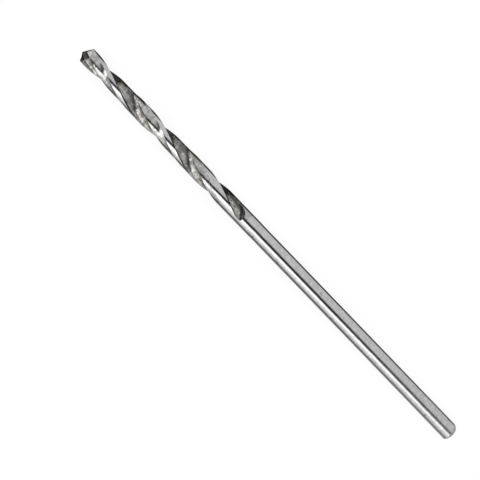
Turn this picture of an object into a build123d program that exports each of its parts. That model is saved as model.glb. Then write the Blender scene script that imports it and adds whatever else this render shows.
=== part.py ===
from build123d import *
import os
from math import atan2, ceil, cos, degrees, radians, sin, sqrt

# A two-flute twist drill with a plain round shank, ground from one bar.
# It is worked out standing on its shank end, axis on Z, point upwards.
# Heights called "back" are measured from the point towards the shank end.
# It is laid along X at the end, resting on its lowest line, point towards +X.

# Driving dimensions, in millimetres and degrees
DIAMETER = 1.4
OVERALL_LENGTH = 40.0
FLUTE_LENGTH = 17.43
LEAD = 11.8
FLUTE_DIRECTION = 160.0
POINT_ANGLE = 118.0

# The bar: the cutting part narrows very slightly backwards, and the shank is a little thinner
BODY_LENGTH = 18.6
BACK_TAPER = 0.004
SHANK_DIAMETER = 1.37
NECK_LENGTH = 0.3

# The grinding wheel's profile, across one flute at the point: a broad floor with a corner and a wall on each side
WEB_AT_POINT = 0.33
WEB_GROWTH = 0.024
DEEPEST_TOWARDS_HEEL = 5.1
FLOOR_RADIUS = 1.3
FLOOR_TO_FACE = 17.0
FLOOR_TO_HEEL = 13.2
FACE_CORNER_RADIUS = 0.33
FACE_WALL_SLOPE = 58.0
HEEL_CORNER_RADIUS = 0.03

# The end of a flute, where the wheel lifts out of the bar while it turns a little further
RUNOUT_RADIUS = 1.3
RUNOUT_TURN = 5.0

# The lands: a margin at full diameter, then a facet that runs into the relieved land
MARGIN_WIDTH = 0.37
LAND_RELIEF = 0.065
FACET_ANGLE = 25.0
FULL_RELIEF_LENGTH = 9.0
RELIEF_LENGTH = 13.9

# The point: each flank falls away behind its lip on a large radius
LIP_RELIEF_ANGLE = 12.0
FLANK_RADIUS = 3.0

# The shank end: a small flat with a wide rounding, ground slightly off centre
END_ROUNDING = 0.52
END_OFFSET = 0.05
END_RUNOUT = 0.01

# Working values
RADIUS = DIAMETER / 2
SHANK_RADIUS = SHANK_DIAMETER / 2
HALF_WEB = WEB_AT_POINT / 2
STEP_ANGLE = 15.0
RUNOUT_STEPS = (0.3, 0.5, 0.7, 0.85, 1.0, 1.1)
OVERCUT = 0.12
AHEAD_OF_POINT = 0.3
INSIDE_FLUTE = 30.0
RELIEF_OVERRUN = 1.0


def polar(radius, angle):
    return Vector(radius * cos(radians(angle)), radius * sin(radians(angle)))


def floor_centre():
    return polar(HALF_WEB + FLOOR_RADIUS, DEEPEST_TOWARDS_HEEL)


def face_corner():
    """The arc between the flute's floor and its face wall."""
    centre = floor_centre() + polar(FLOOR_RADIUS - FACE_CORNER_RADIUS, 180 + FLOOR_TO_FACE)
    return CenterArc(centre, FACE_CORNER_RADIUS, 180 + FLOOR_TO_FACE, FACE_WALL_SLOPE - FLOOR_TO_FACE)


def heel_corner():
    """The arc between the flute's heel wall, which stands square, and its floor."""
    centre = floor_centre() + polar(FLOOR_RADIUS - HEEL_CORNER_RADIUS, 180 - FLOOR_TO_HEEL)
    return CenterArc(centre, HEEL_CORNER_RADIUS, 90, 90 - FLOOR_TO_HEEL)


def runout_start():
    """The height at which the wheel starts to lift, so that the flute ends at its stated length."""
    centre = floor_centre()
    full_lift = sqrt((RADIUS + FLOOR_RADIUS) ** 2 - centre.Y**2) - centre.X
    depth_left = full_lift - FLUTE_LENGTH * WEB_GROWTH / 2
    return FLUTE_LENGTH - sqrt(2 * RUNOUT_RADIUS * depth_left - depth_left**2)


RUNOUT_START = runout_start()


def into_runout(back):
    """How far this height is into the run-out, as a share of its length."""
    return max(back - RUNOUT_START, 0) / (FLUTE_LENGTH - RUNOUT_START)


def out_to(radius, start, direction):
    """Where a line from start meets a circle about the axis."""
    towards = start.dot(direction)
    return start + direction * (sqrt(towards**2 + radius**2 - start.dot(start)) - towards)


def helix_angle(back):
    return FLUTE_DIRECTION - 360 * back / LEAD - RUNOUT_TURN * into_runout(back) ** 2


def wheel_lift(back):
    """How far the wheel stands out at this height: the web's growth, then the run-out."""
    growth = max(back, 0) * WEB_GROWTH / 2
    run = into_runout(back) * (FLUTE_LENGTH - RUNOUT_START)
    return growth + RUNOUT_RADIUS - sqrt(RUNOUT_RADIUS**2 - run**2)


def leading_angle(back):
    """Where the face of the flute meets the full diameter, from the flute's own direction."""
    corner_end = face_corner() @ 1 + Vector(wheel_lift(back), 0)
    edge = out_to(RADIUS, corner_end, polar(1, FACE_WALL_SLOPE - 90))
    return degrees(atan2(edge.Y, edge.X))


def margin_angle(back):
    """Where the land's relief stops, behind the leading edge of the flute that follows it."""
    return leading_angle(min(back, RUNOUT_START)) - degrees(MARGIN_WIDTH / RADIUS)


def on_height(outline, back, turn):
    """Put a flat outline square to the axis at a height, turned with the helix."""
    return Pos(0, 0, OVERALL_LENGTH - back) * Rot(0, 0, turn) * make_face(outline)


def flute_section(back):
    """The wheel's outline where it cuts at this height, closed outside the bar."""
    outside = RADIUS + OVERCUT
    face = face_corner()
    heel = heel_corner()
    floor = CenterArc(floor_centre(), FLOOR_RADIUS, 180 - FLOOR_TO_HEEL, FLOOR_TO_HEEL + FLOOR_TO_FACE)
    face_wall = Line(face @ 1, out_to(outside, face @ 1, polar(1, FACE_WALL_SLOPE - 90)))
    heel_wall = Line(heel @ 0, out_to(outside, heel @ 0, polar(1, 0)))
    closing = ThreePointArc(face_wall @ 1, polar(outside, 0), heel_wall @ 1)
    return Pos(wheel_lift(back), 0, 0) * (face_wall + face + floor + heel + heel_wall + closing)


def flute_cutter():
    """The space one flute takes out of the bar, as a loft along the helix."""
    length = RUNOUT_START + AHEAD_OF_POINT
    steps = ceil(length / LEAD * 360 / STEP_ANGLE)
    backs = [i * length / steps - AHEAD_OF_POINT for i in range(steps + 1)]
    backs += [RUNOUT_START + (FLUTE_LENGTH - RUNOUT_START) * share for share in RUNOUT_STEPS]
    return loft([on_height(flute_section(back), back, helix_angle(back)) for back in backs])


def relief_section(back, depth):
    """What is ground off one land, from inside the flute ahead of it up to its margin."""
    stop = 180 + margin_angle(back)
    facet_start = stop - FACET_ANGLE
    floor = RADIUS - depth
    outside = RADIUS + OVERCUT
    middle = (INSIDE_FLUTE + facet_start) / 2
    land = ThreePointArc(polar(floor, INSIDE_FLUTE), polar(floor, middle), polar(floor, facet_start))
    run = sqrt(outside**2 - floor**2)
    facet_end = polar(floor, facet_start) + polar(run, facet_start + 90)
    facet = Line(polar(floor, facet_start), facet_end)
    closing = ThreePointArc(facet_end, polar(outside + OVERCUT, middle), polar(outside, INSIDE_FLUTE))
    side = Line(polar(outside, INSIDE_FLUTE), polar(floor, INSIDE_FLUTE))
    return land + facet + closing + side


def relief_depth(back):
    """Full along the front of the flutes, then less and less, until it runs out of the bar."""
    past_full = max(back - FULL_RELIEF_LENGTH, 0)
    return LAND_RELIEF * (1 - past_full / (RELIEF_LENGTH - FULL_RELIEF_LENGTH))


def relief_cutter():
    """The relief along one land."""
    length = RELIEF_LENGTH + RELIEF_OVERRUN + AHEAD_OF_POINT
    steps = ceil(length / LEAD * 360 / STEP_ANGLE)
    backs = [i * length / steps - AHEAD_OF_POINT for i in range(steps + 1)]
    return loft([on_height(relief_section(back, relief_depth(back)), back, helix_angle(back)) for back in backs])


def bar():
    """The turned bar, with its shank end rounded off."""
    neck = OVERALL_LENGTH - BODY_LENGTH
    outline = Polyline(
        (0, 0),
        (SHANK_RADIUS, 0),
        (SHANK_RADIUS, neck - NECK_LENGTH),
        (RADIUS - BACK_TAPER, neck),
        (RADIUS, OVERALL_LENGTH),
        (0, OVERALL_LENGTH),
        close=True,
    )
    turned = revolve(Plane.XZ * make_face(outline), Axis.Z)
    return turned & end_form()


def end_form():
    """A wide column with a rounded foot, a little off the drill's axis, which shapes the shank end."""
    side = SHANK_RADIUS + END_OFFSET + END_RUNOUT
    flat = side - END_ROUNDING
    clear = side + OVERCUT
    top = OVERALL_LENGTH + OVERCUT
    corner = CenterArc((flat, END_ROUNDING), END_ROUNDING, -90, 90)
    rest = Polyline((side, END_ROUNDING), (clear, END_ROUNDING), (clear, top), (0, top), (0, 0), (flat, 0))
    return Pos(0, END_OFFSET, 0) * revolve(Plane.XZ * make_face(corner + rest), Axis.Z)


def lip_direction():
    """Direction of a lip seen from the point, behind the flute's direction."""
    outer_back = RADIUS / tan_half_point()
    outer = polar(RADIUS, leading_angle(0) - 360 * outer_back / LEAD)
    inner_back = HALF_WEB / tan_half_point()
    inner = polar(HALF_WEB, -360 * inner_back / LEAD)
    run = outer - inner
    return degrees(atan2(run.Y, run.X))


def tan_half_point():
    half = radians(POINT_ANGLE / 2)
    return sin(half) / cos(half)


def flank_cutter(turn):
    """What is ground away above one flank: a round-backed block drawn along the lip."""
    half = radians(POINT_ANGLE / 2)
    outward = polar(1, turn)
    behind = Vector(outward.Y, -outward.X)
    along_lip = outward * sin(half) - Vector(0, 0, cos(half))
    plane = Plane(origin=(0, 0, OVERALL_LENGTH), x_dir=behind, z_dir=along_lip)
    crest = -HALF_WEB - FLANK_RADIUS * sin(radians(LIP_RELIEF_ANGLE))
    crest_depth = sqrt(FLANK_RADIUS**2 - crest**2)

    def fall(across):
        return crest_depth - sqrt(FLANK_RADIUS**2 - (across - crest) ** 2)

    side = RADIUS + OVERCUT
    block = 2 * DIAMETER
    back = ThreePointArc((-side, fall(-side)), (0, 0), (side, fall(side)))
    rest = Polyline((side, fall(side)), (side, -block), (-side, -block), (-side, fall(-side)))
    return extrude(plane * make_face(back + rest), amount=block, both=True)


def twist_drill():
    drill = bar()
    flute = flute_cutter()
    relief = relief_cutter()
    for turn in (0, 180):
        drill -= Rot(0, 0, turn) * relief
        drill -= Rot(0, 0, turn) * flute
        drill -= flank_cutter(FLUTE_DIRECTION + lip_direction() + turn)
    return drill


def laid_down(upright):
    return Pos(-OVERALL_LENGTH / 2, 0, RADIUS) * Rot(0, 90, 0) * upright


os.makedirs("parts", exist_ok=True)
export_step(laid_down(twist_drill()), "parts/twist_drill.step")
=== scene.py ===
from math import atan2, cos, pi, radians, sin, sqrt, tan

import bmesh
import bpy
import numpy as np
from mathutils import Matrix, Vector


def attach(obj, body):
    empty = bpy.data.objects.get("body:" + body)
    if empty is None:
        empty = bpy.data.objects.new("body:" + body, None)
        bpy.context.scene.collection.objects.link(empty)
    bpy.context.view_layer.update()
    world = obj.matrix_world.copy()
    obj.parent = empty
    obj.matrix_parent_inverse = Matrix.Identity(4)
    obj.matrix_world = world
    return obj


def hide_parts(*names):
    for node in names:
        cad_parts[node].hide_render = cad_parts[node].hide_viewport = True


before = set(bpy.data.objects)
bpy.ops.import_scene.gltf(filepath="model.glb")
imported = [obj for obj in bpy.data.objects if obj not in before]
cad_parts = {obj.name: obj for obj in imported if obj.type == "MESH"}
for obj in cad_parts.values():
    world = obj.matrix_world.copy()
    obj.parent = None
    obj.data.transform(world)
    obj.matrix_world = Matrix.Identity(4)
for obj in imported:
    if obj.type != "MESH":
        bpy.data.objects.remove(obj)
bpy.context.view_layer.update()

# A 1.4 mm twist drill, meshed finely along its own helix.
# It is worked out in millimetres, upright like a drill in a chuck, axis on Z, and then laid down.
# Distances called "back" run from the point towards the shank end, as an array of rings by columns.
MM = 0.001

# The bar, as in the solid
LENGTH = 40.0
RADIUS = 0.7
BODY_LENGTH = 18.6
BACK_TAPER = 0.004
SHANK_RADIUS = 0.685
NECK_LENGTH = 0.3

# The flutes: their helix, the grinding wheel's profile across one flute, and the run-out
FLUTE_LENGTH = 17.43
LEAD = 11.8
FLUTE_DIRECTION = radians(160.0)
HALF_WEB = 0.165
WEB_GROWTH = 0.024
DEEPEST_TOWARDS_HEEL = radians(5.1)
FLOOR_RADIUS = 1.3
FLOOR_TO_FACE = radians(17.0)
FLOOR_TO_HEEL = radians(13.2)
FACE_CORNER_RADIUS = 0.33
FACE_WALL_SLOPE = radians(58.0)
HEEL_CORNER_RADIUS = 0.03
RUNOUT_RADIUS = 1.3
RUNOUT_TURN = radians(5.0)

# The lands: margin, facet and relief
MARGIN_WIDTH = 0.37
LAND_RELIEF = 0.065
FACET_ANGLE = radians(25.0)
FULL_RELIEF_LENGTH = 9.0
RELIEF_LENGTH = 13.9

# The point and the shank end
HALF_POINT = radians(59.0)
LIP_RELIEF_ANGLE = radians(12.0)
FLANK_RADIUS = 3.0
END_ROUNDING = 0.52
END_OFFSET = 0.05
END_RUNOUT = 0.01

# How finely it is meshed: columns round one half, rings along it
FLUTE_COLUMNS = 34
LAND_COLUMNS = 12
FACET_COLUMNS = 12
MARGIN_COLUMNS = 12
HALF_COLUMNS = FLUTE_COLUMNS + LAND_COLUMNS + FACET_COLUMNS + MARGIN_COLUMNS
RING_STEP = 0.055
RUNOUT_RINGS = 26
BODY_RINGS = 4
SHANK_STEP = 0.5
CAP_RINGS = 14
POINT_BLEND = 2.0
MERGE_MM = 0.0002
SHARP_ANGLE = radians(20.0)

# How far along the profile a flute's rims are looked for, and how often each search is repeated
PROFILE_REACH = 1.5 * RADIUS
HALVINGS = 40
RUNOUT_SETTLING = 30
POINT_SETTLING = 20
CHISEL_SETTLING = 12
CHISEL_SAMPLES = 2000

# How far round the facet is followed, past where it meets the margin, and the slack at that line
FACET_REACH = 1.2 * FACET_ANGLE
MARGIN_SLACK = 1e-9

# Painted shade in a flute's corners, for the dark reflections there: where it starts across the profile,
# and how dark it is
HEEL_SHADE_FROM = 0.02
HEEL_SHADE_BACK = (12.0, 14.5)
HEEL_SHADE = (0.52, 0.85)
FACE_SHADE_TO = -0.22
FACE_SHADE = 0.10
CORNER_SHADE_BLEND = 0.20

# Painted shade in a flute beside the lip, for its dark reflections: a dark band and a lighter one, which
# slant across it
LIP_SHADE_BACK = 0.76
LIP_SHADE_SLANT = 0.54
LIP_SHADE_BLEND = 0.05
LIP_SHADE = 1.0
LIP_BAND_BACK = 1.1
LIP_BAND_SLANT = -0.9
LIP_BAND_BLEND = 0.15
LIP_BAND_SHADE = 0.22

# Painted shade on the wall at the end of the run-out, and on the facet at the waist behind the point,
# where it dims the facet's bright reflection
END_WALL_FROM = 16.97
END_WALL_SLANT = 1.3
END_WALL_BLEND = 0.1
END_WALL_SHADE = 0.5
WAIST_FROM = 1.95
WAIST_TO = 3.2
WAIST_BLEND = 0.25
WAIST_SHADE = 0.48

# Colours of the steel: the dark of its specks and of its painted shade, its mottle, and pairs of tints
# that drift into each other
DIRT_AND_SHADE = (0.05, 0.047, 0.045)
MOTTLE = (0.30, 0.295, 0.285)
BRIGHT_TINTS = ((0.885, 0.875, 0.88), (0.89, 0.88, 0.89))
LAND_TINTS = ((0.93, 0.94, 0.90), (0.94, 0.92, 0.91))
END_TINTS = ((0.50, 0.485, 0.49), (0.52, 0.50, 0.51))
FLUTE_TINTS = ((0.88, 0.90, 0.79), (0.90, 0.83, 0.81))

# Patterns in the steel: how many to the millimetre along the axis and across it, and their detail
LINES = (12.0, 0.8, 3.0)
GRAIN = (6.0, 3.6, 3.0)
WAVES = (2.6, 2.0, 3.0)
SPECKS = (3.2, 3.2, 1.0)
TINT_DRIFT = (0.6, 0.6, 1.0)
CLOUDS = (2.2, 2.2, 4.0)
PATCH_DETAIL = 4.0

# Between which values of its noise each pattern goes from none to full
NOISE_RANGE = (0.30, 0.70)
GRAIN_RANGE = (0.36, 0.64)
PATCH_RANGE = (0.40, 0.60)
CLOUD_RANGE = (0.38, 0.62)
SPECK_RANGE = (0.71, 0.77)

# How dark a speck is at most, and by what share the fine lines change the roughness either way
SPECK_STRENGTH = 0.5
ROUGHNESS_SPREAD = 0.3

# The finishes, in the order of the drill's slots: bump and waviness in mm, patches to the mm
GROUND, LAND, FLUTE, FLANK, END = range(5)
FINISHES = [
    {
        "name": "ground_steel_bright",
        "tints": BRIGHT_TINTS,
        "dark": (0.82, 0.815, 0.815),
        "roughness": 0.11,
        "bump": 0.0010,
        "waviness": 0.006,
        "patches": (5.0, 0.5),
        "mottle": 0.08,
        "graininess": 0.26,
    },
    {
        "name": "ground_steel_land",
        "tints": LAND_TINTS,
        "dark": (0.71, 0.71, 0.69),
        "roughness": 0.15,
        "bump": 0.0015,
        "waviness": 0.026,
        "patches": (3.0, 1.4),
        "mottle": 0.40,
        "graininess": 0.65,
    },
    {
        "name": "ground_steel_flute",
        "tints": FLUTE_TINTS,
        "dark": (0.28, 0.27, 0.26),
        "roughness": 0.20,
        "bump": 0.0025,
        "waviness": 0.050,
        "patches": (2.6, 1.6),
        "mottle": 0.55,
        "graininess": 0.75,
    },
    {
        "name": "ground_steel_flank",
        "tints": BRIGHT_TINTS,
        "dark": (0.55, 0.545, 0.54),
        "roughness": 0.20,
        "bump": 0.0010,
        "waviness": 0.006,
        "patches": (4.0, 4.0),
        "mottle": 0.30,
        "graininess": 0.50,
    },
    {
        "name": "ground_steel_end",
        "tints": END_TINTS,
        "dark": (0.36, 0.35, 0.35),
        "roughness": 0.25,
        "bump": 0.0010,
        "waviness": 0.006,
        "patches": (4.0, 4.0),
        "mottle": 0.20,
        "graininess": 0.40,
    },
]

# The table, in metres
WHITE = (1.0, 1.0, 1.0)
TABLE_HALF_SIZE = 0.9
TABLE_COLOUR = (0.16, 0.16, 0.16)
TABLE_GLOW = 0.86

# The room as the steel shows it: degrees from straight up, towards the far side, and brightness
ROOM = [
    (-180, 0.90),
    (-160, 0.80),
    (-145, 0.45),
    (-130, 0.20),
    (-118, 0.10),
    (-105, 0.15),
    (-97, 0.35),
    (-85, 0.62),
    (-70, 0.88),
    (-50, 1.15),
    (-42, 1.70),
    (-31, 1.80),
    (-24, 1.00),
    (-17, 0.15),
    (-13, 0.01),
    (-1, 0.01),
    (4, 0.15),
    (10, 0.42),
    (17, 0.60),
    (30, 0.64),
    (98, 0.62),
    (110, 0.40),
    (118, 0.06),
    (150, 0.03),
    (180, 0.30),
]

# The same for what lies well ahead of the drill, which only the flutes and the point mirror
ROOM_ASIDE = [
    (-180, 0.90),
    (-160, 0.75),
    (-145, 0.50),
    (-130, 0.32),
    (-110, 0.28),
    (-90, 0.30),
    (-76, 0.48),
    (-62, 0.70),
    (-50, 1.00),
    (-40, 3.00),
    (-27, 3.30),
    (-21, 1.30),
    (-16, 0.17),
    (-3, 0.15),
    (6, 0.20),
    (22, 0.70),
    (60, 0.76),
    (98, 0.72),
    (115, 0.42),
    (130, 0.14),
    (150, 0.06),
    (180, 0.20),
]

# How the room changes along the drill: ranges of a direction's X, and what each change comes to
ASIDE_RANGE = (0.26, 0.34)
AHEAD_RANGE = (0.58, 0.72)
AHEAD_STRENGTH = 0.26
BEHIND_RANGE = (-0.60, -0.14)
BEHIND_SHARE = 0.9
BEHIND_COLOUR = (0.45, 0.45, 0.45)
FAR_BEHIND_RANGE = (-0.40, -0.31)
FAR_BEHIND_SHARE = 0.8
FAR_BEHIND_COLOUR = (0.85, 0.85, 0.85)
SLANT_RANGE = (-0.02, 0.22)
SLANT_DEGREES = 10.0

# The camera looks straight down at the drill, close to it
PHOTO_WIDTH_MM = 36.14
CAMERA_HEIGHT_MM = 70.0
CAMERA_AIM_MM = (1.60, 1.35)
AXIS_IN_PHOTO = (-0.6935, 0.7205)
SENSOR_MM = 36.0
CLIP_M = (0.001, 10.0)


def unit(angle):
    return np.array([cos(angle), sin(angle)])


FLOOR_CENTRE = (HALF_WEB + FLOOR_RADIUS) * unit(DEEPEST_TOWARDS_HEEL)


def profile_side(arc, floor_turn, corner_radius, wall_slope):
    """How far out and along one half of the wheel's profile lies: floor, corner, wall."""
    floor = np.minimum(arc / FLOOR_RADIUS, floor_turn)
    past_floor = np.maximum(arc - FLOOR_RADIUS * floor_turn, 0)
    corner = np.minimum(past_floor / corner_radius, wall_slope - floor_turn)
    past_corner = np.maximum(past_floor - corner_radius * (wall_slope - floor_turn), 0)
    slope = floor_turn + corner
    out = FLOOR_RADIUS * (1 - np.cos(floor)) + corner_radius * (cos(floor_turn) - np.cos(slope))
    along = FLOOR_RADIUS * np.sin(floor) + corner_radius * (np.sin(slope) - sin(floor_turn))
    return out + past_corner * sin(wall_slope), along + past_corner * cos(wall_slope)


def profile_point(arc, lift):
    """The wheel's profile across a flute, by length from its lowest place: the face side is negative."""
    face = profile_side(np.maximum(-arc, 0), FLOOR_TO_FACE, FACE_CORNER_RADIUS, FACE_WALL_SLOPE)
    heel = profile_side(np.maximum(arc, 0), FLOOR_TO_HEEL, HEEL_CORNER_RADIUS, pi / 2)
    lowest = FLOOR_CENTRE[0] - FLOOR_RADIUS
    return lowest + face[0] + heel[0] + lift, FLOOR_CENTRE[1] - face[1] + heel[1]


def profile_angle(arc, lift):
    x, y = profile_point(arc, lift)
    return np.arctan2(y, x)


def rim_arc(lift, rim, side):
    """Length along the profile out to radius rim, on its face side (-1) or its heel side (1)."""
    nearest = -FLOOR_RADIUS * np.arctan2(FLOOR_CENTRE[1], FLOOR_CENTRE[0] + lift)
    near = nearest + np.zeros(np.broadcast(lift, rim).shape)
    far = near + side * PROFILE_REACH
    for _ in range(HALVINGS):
        middle = (near + far) / 2
        inside = np.hypot(*profile_point(middle, lift)) < rim
        near = np.where(inside, middle, near)
        far = np.where(inside, far, middle)
    return near


def face_rim_angle(lift):
    """Where the face wall meets the full diameter."""
    return profile_angle(rim_arc(lift, RADIUS, -1), lift)


def full_lift(rim):
    """How far the wheel has to lift until it just leaves a bar of radius rim."""
    return sqrt((rim + FLOOR_RADIUS) ** 2 - FLOOR_CENTRE[1] ** 2) - FLOOR_CENTRE[0]


def runout_start():
    depth_left = full_lift(RADIUS) - FLUTE_LENGTH * WEB_GROWTH / 2
    return FLUTE_LENGTH - sqrt(2 * RUNOUT_RADIUS * depth_left - depth_left**2)


RUNOUT_START = runout_start()


def flute_end():
    """Where the lifted wheel just leaves the bar."""
    lift = full_lift(RADIUS - BACK_TAPER * FLUTE_LENGTH / BODY_LENGTH)
    back = FLUTE_LENGTH
    for _ in range(RUNOUT_SETTLING):
        rise = lift - back * WEB_GROWTH / 2
        back = RUNOUT_START + sqrt(RUNOUT_RADIUS**2 - (RUNOUT_RADIUS - rise) ** 2)
    return back


FLUTE_END = flute_end()


def wheel_lift(back):
    """How far the wheel stands out: the web's growth, then the run-out."""
    growth = np.maximum(back, 0) * WEB_GROWTH / 2
    into_runout = np.maximum(back - RUNOUT_START, 0)
    return growth + RUNOUT_RADIUS - np.sqrt(RUNOUT_RADIUS**2 - into_runout**2)


def helix_angle(back):
    into_runout = np.maximum(back - RUNOUT_START, 0) / (FLUTE_LENGTH - RUNOUT_START)
    return FLUTE_DIRECTION - 2 * pi * back / LEAD - RUNOUT_TURN * into_runout**2


def bar_radius(back):
    body = RADIUS - BACK_TAPER * np.clip(back / BODY_LENGTH, 0, 1)
    neck = np.clip((back - BODY_LENGTH) / NECK_LENGTH, 0, 1)
    return body + (SHANK_RADIUS - RADIUS + BACK_TAPER) * neck


def land_radius(back):
    """The relieved land's radius: the relief fades until it runs out of the bar."""
    fade = np.maximum(back - FULL_RELIEF_LENGTH, 0) / (RELIEF_LENGTH - FULL_RELIEF_LENGTH)
    return np.minimum(RADIUS - LAND_RELIEF * (1 - fade), bar_radius(back))


def lip_direction():
    """Direction of a lip seen from the point, measured from its flute's own direction."""
    outer_back = RADIUS / tan(HALF_POINT)
    inner_back = HALF_WEB / tan(HALF_POINT)
    outer = RADIUS * unit(float(face_rim_angle(0.0)) - 2 * pi * outer_back / LEAD)
    inner = HALF_WEB * unit(-2 * pi * inner_back / LEAD)
    run = outer - inner
    return atan2(run[1], run[0])


def point_back(x, y):
    """How far back the two flanks of the point lie at a place seen from the point."""
    crest = -HALF_WEB - FLANK_RADIUS * sin(LIP_RELIEF_ANGLE)
    crest_depth = sqrt(FLANK_RADIUS**2 - crest**2)
    flanks = []
    for turn in (0, pi):
        outward = unit(FLUTE_DIRECTION + lip_direction() + turn)
        along_lip = x * outward[0] + y * outward[1]
        behind = x * outward[1] - y * outward[0]
        fall = crest_depth - np.sqrt(FLANK_RADIUS**2 - (behind - crest) ** 2)
        flanks.append((fall + cos(HALF_POINT) * along_lip) / sin(HALF_POINT))
    return np.maximum(*flanks)


def end_back(x, y):
    """How far back the rounded shank end lies at a place seen from the end."""
    side = SHANK_RADIUS + END_OFFSET + END_RUNOUT
    into_rounding = np.maximum(np.hypot(x, y - END_OFFSET) - side + END_ROUNDING, 0)
    return LENGTH - (END_ROUNDING - np.sqrt(END_ROUNDING**2 - into_rounding**2))


def half_outline(back, flute_shares):
    """One flute and the land behind it, as points for every ring and column of back."""
    cut = np.minimum(back, FLUTE_END)
    lift = wheel_lift(cut)
    rim = bar_radius(cut)
    land = land_radius(cut)
    face_arc = rim_arc(lift, rim, -1)
    heel_arc = rim_arc(lift, land, 1)
    face_angle = profile_angle(face_arc, lift) + pi
    heel_angle = profile_angle(heel_arc, lift)
    margin_lift = wheel_lift(np.minimum(cut, RUNOUT_START))
    facet_angle = face_rim_angle(margin_lift) + pi - MARGIN_WIDTH / RADIUS - FACET_ANGLE
    margin_angle = facet_angle + np.arccos(land / rim)

    angle = np.empty_like(back)
    radius = np.empty_like(back)
    columns = slice(0, FLUTE_COLUMNS)
    arc = face_arc[:, columns] + (heel_arc - face_arc)[:, columns] * flute_shares[None, :]
    x, y = profile_point(arc, lift[:, columns])
    angle[:, columns] = np.arctan2(y, x)
    radius[:, columns] = np.hypot(x, y)

    bounds = [(heel_angle, facet_angle), (facet_angle, margin_angle), (margin_angle, face_angle)]
    first = FLUTE_COLUMNS
    for count, (start, stop) in zip((LAND_COLUMNS, FACET_COLUMNS, MARGIN_COLUMNS), bounds):
        columns = slice(first, first + count)
        shares = np.arange(count)[None, :] / count
        angle[:, columns] = start[:, columns] + (stop - start)[:, columns] * shares
        first += count
    into_facet = np.clip(angle - facet_angle, 0, FACET_REACH)
    on_land = np.minimum(land / np.cos(into_facet), rim)
    on_land = np.where(angle > margin_angle - MARGIN_SLACK, rim, on_land)
    radius[:, FLUTE_COLUMNS:] = on_land[:, FLUTE_COLUMNS:]

    radius = np.where(back > FLUTE_END, bar_radius(back), radius)
    turned = angle + helix_angle(cut)
    return radius * np.cos(turned), radius * np.sin(turned)


def chisel_share():
    """The share of the flute's width at which the chisel edge ends, found on the rim of the point."""
    shares = np.linspace(0, 1, CHISEL_SAMPLES, endpoint=False)
    arc_from = rim_arc(0.0, RADIUS, -1)
    arc_to = rim_arc(0.0, RADIUS - LAND_RELIEF, 1)
    x, y = profile_point(arc_from + (arc_to - arc_from) * shares, 0.0)
    back = np.zeros_like(x)
    for _ in range(CHISEL_SETTLING):
        turn = helix_angle(back)
        turned_x = x * np.cos(turn) - y * np.sin(turn)
        turned_y = x * np.sin(turn) + y * np.cos(turn)
        back = point_back(turned_x, turned_y)
    return shares[np.argmin(back)]


def spaced_flute_shares():
    """Even shares of the flute's width, one of them moved onto the end of the chisel edge."""
    shares = np.arange(FLUTE_COLUMNS) / FLUTE_COLUMNS
    chisel = chisel_share()
    shares[np.argmin(np.abs(shares - chisel))] = chisel
    return shares


def ring_backs():
    cutting = np.arange(0, RUNOUT_START, RING_STEP)
    share = np.linspace(0, 1, RUNOUT_RINGS)
    runout = FLUTE_END - (FLUTE_END - RUNOUT_START) * (1 - share) ** 2
    body = np.linspace(FLUTE_END, BODY_LENGTH, BODY_RINGS + 1)[1:]
    neck = BODY_LENGTH + np.array([0.5, 1.0]) * NECK_LENGTH
    shank = np.arange(BODY_LENGTH + 2 * NECK_LENGTH, LENGTH - 2 * END_ROUNDING, SHANK_STEP)
    return np.concatenate([cutting, runout, body, neck, shank])


def flute_painted_shade(y, back, flute_shares):
    """Painted shade at each place: the flute's corners, end wall and lip side, and the facet at the waist.
    """
    lift = wheel_lift(np.minimum(back, FLUTE_END))
    rim = bar_radius(back)
    face_arc = rim_arc(lift, rim, -1)
    heel_arc = rim_arc(lift, rim, 1)
    shares = np.append(flute_shares, np.ones(HALF_COLUMNS - FLUTE_COLUMNS))[None, :]
    arc = face_arc + (heel_arc - face_arc) * shares
    across = profile_point(arc, lift)[1]

    in_heel_corner = np.clip((across - HEEL_SHADE_FROM) / CORNER_SHADE_BLEND, 0, 1)
    on_face_wall = np.clip((FACE_SHADE_TO - across) / CORNER_SHADE_BLEND, 0, 1)
    on_end_wall = np.clip((back + END_WALL_SLANT * across - END_WALL_FROM) / END_WALL_BLEND, 0, 1)
    beside_lip = np.clip((LIP_SHADE_BACK - LIP_SHADE_SLANT * y - back) / LIP_SHADE_BLEND, 0, 1)
    lip_band = np.clip((LIP_BAND_BACK + LIP_BAND_SLANT * y - back) / LIP_BAND_BLEND, 0, 1)
    painted_shade = np.interp(back, HEEL_SHADE_BACK, HEEL_SHADE) * in_heel_corner
    for strength, place in (
        (FACE_SHADE, on_face_wall),
        (END_WALL_SHADE, on_end_wall),
        (LIP_SHADE, beside_lip),
        (LIP_BAND_SHADE, lip_band),
    ):
        painted_shade = np.maximum(painted_shade, strength * place)

    at_waist = np.clip(np.minimum(back - WAIST_FROM, WAIST_TO - back) / WAIST_BLEND, 0, 1)
    facet = slice(FLUTE_COLUMNS + LAND_COLUMNS, HALF_COLUMNS - MARGIN_COLUMNS)
    painted_shade[:, FLUTE_COLUMNS:] = 0
    painted_shade[:, facet] = WAIST_SHADE * at_waist[:, facet]
    return painted_shade


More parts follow.
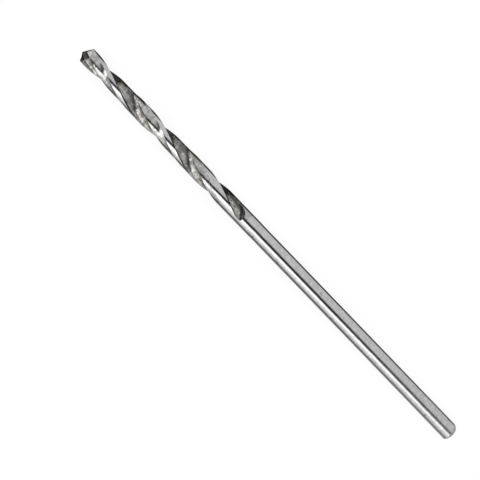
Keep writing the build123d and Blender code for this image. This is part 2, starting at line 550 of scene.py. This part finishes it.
def column_rings():
    """The sides of the drill: a grid of rings by columns, its first ring on the flanks of the point."""
    shares = spaced_flute_shares()
    on_flanks = np.zeros((1, HALF_COLUMNS))
    for _ in range(POINT_SETTLING):
        on_flanks = point_back(*half_outline(on_flanks, shares))
    levels = ring_backs()[:, None]
    back = levels + on_flanks * np.clip(1 - levels / POINT_BLEND, 0, 1)
    back = np.vstack([back, np.full((1, HALF_COLUMNS), LENGTH)])
    x, y = half_outline(back, shares)
    both_x = np.hstack([x, -x])
    both_y = np.hstack([y, -y])
    both_back = np.hstack([back, back])
    both_back[-1] = end_back(both_x[-1], both_y[-1])
    # The painted shade of each place, the same on both halves
    painted_shade = flute_painted_shade(y, both_back[:, :HALF_COLUMNS], shares)
    return both_x, both_y, both_back, np.hstack([painted_shade, painted_shade])


def lay_down(x, y, back):
    """From the upright drill to where the solid lies: point towards +X, lowest line on the surface."""
    return np.stack([LENGTH / 2 - back, y, RADIUS - x], axis=-1) * MM


def column_finish(column, ring_back):
    if ring_back > FLUTE_END:
        return GROUND
    place = column % HALF_COLUMNS
    if place < FLUTE_COLUMNS:
        return FLUTE
    return LAND if place < HALF_COLUMNS - MARGIN_COLUMNS else GROUND


def close_with_rings(bm, rim, rim_x, rim_y, centre, back_at, finish):
    """Closes one end with rings that shrink towards a centre and follow that end's own surface."""
    outer = rim
    for ring in range(1, CAP_RINGS):
        share = 1 - ring / CAP_RINGS
        x = centre[0] + (rim_x - centre[0]) * share
        y = centre[1] + (rim_y - centre[1]) * share
        inner = [bm.verts.new(p) for p in lay_down(x, y, back_at(x, y))]
        for i in range(len(rim)):
            k = (i + 1) % len(rim)
            bm.faces.new((outer[i], outer[k], inner[k], inner[i])).material_index = finish
        outer = inner
    x = np.array(float(centre[0]))
    y = np.array(float(centre[1]))
    middle = bm.verts.new(lay_down(x, y, back_at(x, y)))
    for i in range(len(rim)):
        k = (i + 1) % len(rim)
        bm.faces.new((outer[i], outer[k], middle)).material_index = finish


def drill_mesh():
    x, y, back, painted_shade = column_rings()
    rings, columns = x.shape
    bm = bmesh.new()
    # Each corner of the mesh carries its painted shade, which darkens the steel's colour
    layer = bm.verts.layers.float.new("painted_shade")
    sides = [[bm.verts.new(p) for p in row] for row in lay_down(x, y, back)]
    for row, values in zip(sides, painted_shade):
        for vertex, value in zip(row, values):
            vertex[layer] = value
    for j in range(rings - 1):
        for i in range(columns):
            k = (i + 1) % columns
            face = bm.faces.new((sides[j][i], sides[j][k], sides[j + 1][k], sides[j + 1][i]))
            face.material_index = column_finish(i, back[j].mean())
    close_with_rings(bm, sides[0], x[0], y[0], (0, 0), point_back, FLANK)
    close_with_rings(bm, sides[-1], x[-1], y[-1], (0, END_OFFSET), end_back, END)
    bmesh.ops.remove_doubles(bm, verts=bm.verts, dist=MERGE_MM * MM)
    bmesh.ops.recalc_face_normals(bm, faces=bm.faces)
    mesh = bpy.data.meshes.new("twist_drill_finish")
    bm.to_mesh(mesh)
    bm.free()
    mesh.shade_smooth()
    mesh.set_sharp_from_angle(angle=SHARP_ANGLE)
    return mesh


def new_material(name):
    material = bpy.data.materials.new(name)
    material.use_nodes = True
    return material, material.node_tree.nodes["Principled BSDF"]


def pattern(tree, coords, along, across, detail):
    """Noise drawn out round the axis: so many to the millimetre along the axis and across it."""
    stretch = tree.nodes.new("ShaderNodeMapping")
    stretch.inputs["Scale"].default_value = (along / MM, across / MM, across / MM)
    tree.links.new(coords.outputs["Object"], stretch.inputs["Vector"])
    noise = tree.nodes.new("ShaderNodeTexNoise")
    noise.inputs["Scale"].default_value = 1.0
    noise.inputs["Detail"].default_value = detail
    tree.links.new(stretch.outputs["Vector"], noise.inputs["Vector"])
    return noise.outputs["Fac"]


def ranged(tree, value, source, low, high):
    """Values in the source range become values from low to high, and stay within them."""
    node = tree.nodes.new("ShaderNodeMapRange")
    node.inputs["From Min"].default_value = source[0]
    node.inputs["From Max"].default_value = source[1]
    node.inputs["To Min"].default_value = low
    node.inputs["To Max"].default_value = high
    tree.links.new(value, node.inputs["Value"])
    return node.outputs["Result"]


def mixed(tree, factor, first, second):
    mix = tree.nodes.new("ShaderNodeMix")
    mix.data_type = "RGBA"
    tree.links.new(factor, mix.inputs["Factor"])
    for socket, colour in (("A", first), ("B", second)):
        if isinstance(colour, tuple):
            mix.inputs[socket].default_value = (*colour, 1)
        else:
            tree.links.new(colour, mix.inputs[socket])
    return mix.outputs["Result"]


def add_bump(tree, height, distance):
    relief = tree.nodes.new("ShaderNodeBump")
    relief.inputs["Strength"].default_value = 1.0
    relief.inputs["Distance"].default_value = distance * MM
    tree.links.new(height, relief.inputs["Height"])
    return relief


def steel(name, tints, dark, roughness, bump, waviness, patches, mottle, graininess):
    """Ground steel: fine lines round the axis, patches, grain and clouds, with specks and painted shade on
    top.
    """
    material, shader = new_material(name)
    tree = material.node_tree
    shader.inputs["Metallic"].default_value = 1.0
    coords = tree.nodes.new("ShaderNodeTexCoord")
    lines = pattern(tree, coords, *LINES)
    drift = ranged(tree, pattern(tree, coords, *TINT_DRIFT), NOISE_RANGE, 0.0, 1.0)
    patchy = ranged(tree, pattern(tree, coords, *patches, PATCH_DETAIL), PATCH_RANGE, 0.0, 1.0)
    grain = ranged(tree, pattern(tree, coords, *GRAIN), GRAIN_RANGE, 0.0, graininess)
    clouds = ranged(tree, pattern(tree, coords, *CLOUDS), CLOUD_RANGE, 0.0, mottle)
    specks = ranged(tree, pattern(tree, coords, *SPECKS), SPECK_RANGE, 0.0, SPECK_STRENGTH)
    # The painted shade from the mesh darkens the colour last, towards the same dark as the specks
    painted_shade = tree.nodes.new("ShaderNodeAttribute")
    painted_shade.attribute_name = "painted_shade"
    clean = mixed(tree, patchy, dark, mixed(tree, drift, *tints))
    mottled = mixed(tree, clouds, mixed(tree, grain, clean, MOTTLE), MOTTLE)
    specked = mixed(tree, specks, mottled, DIRT_AND_SHADE)
    tree.links.new(mixed(tree, painted_shade.outputs["Fac"], specked, DIRT_AND_SHADE), shader.inputs["Base Color"])
    smoother = roughness * (1 - ROUGHNESS_SPREAD)
    rougher = roughness * (1 + ROUGHNESS_SPREAD)
    tree.links.new(ranged(tree, lines, NOISE_RANGE, smoother, rougher), shader.inputs["Roughness"])
    waves = add_bump(tree, pattern(tree, coords, *WAVES), waviness)
    relief = add_bump(tree, lines, bump)
    tree.links.new(waves.outputs["Normal"], relief.inputs["Normal"])
    tree.links.new(relief.outputs["Normal"], shader.inputs["Normal"])
    return material


def add_drill():
    drill = bpy.data.objects.new("twist_drill_finish", drill_mesh())
    bpy.context.scene.collection.objects.link(drill)
    for finish in FINISHES:
        drill.data.materials.append(steel(**finish))
    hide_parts("twist_drill")
    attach(drill, "root")


def add_table():
    """A plain white table, which the steel doesn't mirror: it shows the room instead."""
    mesh = bpy.data.meshes.new("floor")
    size = TABLE_HALF_SIZE
    corners = [(-size, -size, 0), (size, -size, 0), (size, size, 0), (-size, size, 0)]
    mesh.from_pydata(corners, [], [(0, 1, 2, 3)])
    floor = bpy.data.objects.new("floor", mesh)
    bpy.context.scene.collection.objects.link(floor)
    material, shader = new_material("white_table")
    shader.inputs["Roughness"].default_value = 1.0
    shader.inputs["Specular IOR Level"].default_value = 0.0
    shader.inputs["Base Color"].default_value = (*TABLE_COLOUR, 1)
    shader.inputs["Emission Color"].default_value = (*WHITE, 1)
    shader.inputs["Emission Strength"].default_value = TABLE_GLOW
    mesh.materials.append(material)
    floor.visible_glossy = False


def math_node(tree, operation, first, second):
    node = tree.nodes.new("ShaderNodeMath")
    node.operation = operation
    for socket, value in zip(node.inputs, (first, second)):
        if isinstance(value, (int, float)):
            socket.default_value = value
        else:
            tree.links.new(value, socket)
    return node.outputs[0]


def room_ramp(tree, place, levels):
    """Grey levels round the axis. The ramp sorts its stops by place, so their colours come last."""
    ramp = tree.nodes.new("ShaderNodeValToRGB")
    ramp.color_ramp.interpolation = "LINEAR"
    elements = ramp.color_ramp.elements
    while len(elements) < len(levels):
        elements.new(0.5)
    for element, (degrees, level) in zip(elements, levels):
        element.position = (degrees + 180) / 360
    for element, (degrees, level) in zip(elements, levels):
        element.color = (level, level, level, 1)
    tree.links.new(place, ramp.inputs["Fac"])
    return ramp.outputs["Color"]


def add_room():
    """The steel mirrors the room, and all else sees plain white."""
    world = bpy.data.worlds.new("room")
    bpy.context.scene.world = world
    world.use_nodes = True
    tree = world.node_tree
    tree.nodes.clear()
    link = tree.links.new
    coords = tree.nodes.new("ShaderNodeTexCoord")
    parts = tree.nodes.new("ShaderNodeSeparateXYZ")
    link(coords.outputs["Generated"], parts.inputs[0])
    forwards = parts.outputs["X"]
    far_side = math_node(tree, "MULTIPLY", parts.outputs["Y"], -1)
    angle = math_node(tree, "ARCTAN2", far_side, parts.outputs["Z"])
    place = ranged(tree, angle, (-pi, pi), 0.0, 1.0)
    slant = ranged(tree, forwards, SLANT_RANGE, 0.0, SLANT_DEGREES / 360)
    along = room_ramp(tree, math_node(tree, "ADD", place, slant), ROOM)
    beside = room_ramp(tree, place, ROOM_ASIDE)
    aside = ranged(tree, forwards, ASIDE_RANGE, 0.0, 1.0)
    behind = ranged(tree, forwards, BEHIND_RANGE, BEHIND_SHARE, 0.0)
    far_behind = ranged(tree, forwards, FAR_BEHIND_RANGE, FAR_BEHIND_SHARE, 0.0)
    near_room = mixed(tree, behind, mixed(tree, aside, along, beside), BEHIND_COLOUR)

    shown = tree.nodes.new("ShaderNodeBackground")
    link(mixed(tree, far_behind, near_room, FAR_BEHIND_COLOUR), shown.inputs["Color"])
    link(ranged(tree, forwards, AHEAD_RANGE, 1.0, AHEAD_STRENGTH), shown.inputs["Strength"])
    plain = tree.nodes.new("ShaderNodeBackground")
    plain.inputs["Color"].default_value = (*WHITE, 1)
    ray = tree.nodes.new("ShaderNodeLightPath")
    mix = tree.nodes.new("ShaderNodeMixShader")
    link(ray.outputs["Is Glossy Ray"], mix.inputs["Fac"])
    link(plain.outputs[0], mix.inputs[1])
    link(shown.outputs[0], mix.inputs[2])
    output = tree.nodes.new("ShaderNodeOutputWorld")
    link(mix.outputs[0], output.inputs["Surface"])


def add_camera():
    data = bpy.data.cameras.new("camera")
    data.sensor_width = SENSOR_MM
    data.lens = SENSOR_MM * CAMERA_HEIGHT_MM / PHOTO_WIDTH_MM
    data.clip_start, data.clip_end = CLIP_M
    camera = bpy.data.objects.new("camera", data)
    bpy.context.scene.collection.objects.link(camera)
    left, up = AXIS_IN_PHOTO
    turn = Matrix(((left, up, 0), (-up, left, 0), (0, 0, 1))).to_4x4()
    x, y = CAMERA_AIM_MM
    camera.matrix_world = Matrix.Translation(Vector((x, y, RADIUS + CAMERA_HEIGHT_MM)) * MM) @ turn
    bpy.context.scene.camera = camera


add_drill()
add_table()
add_room()
add_camera()
bpy.context.scene.view_settings.view_transform = "Standard"
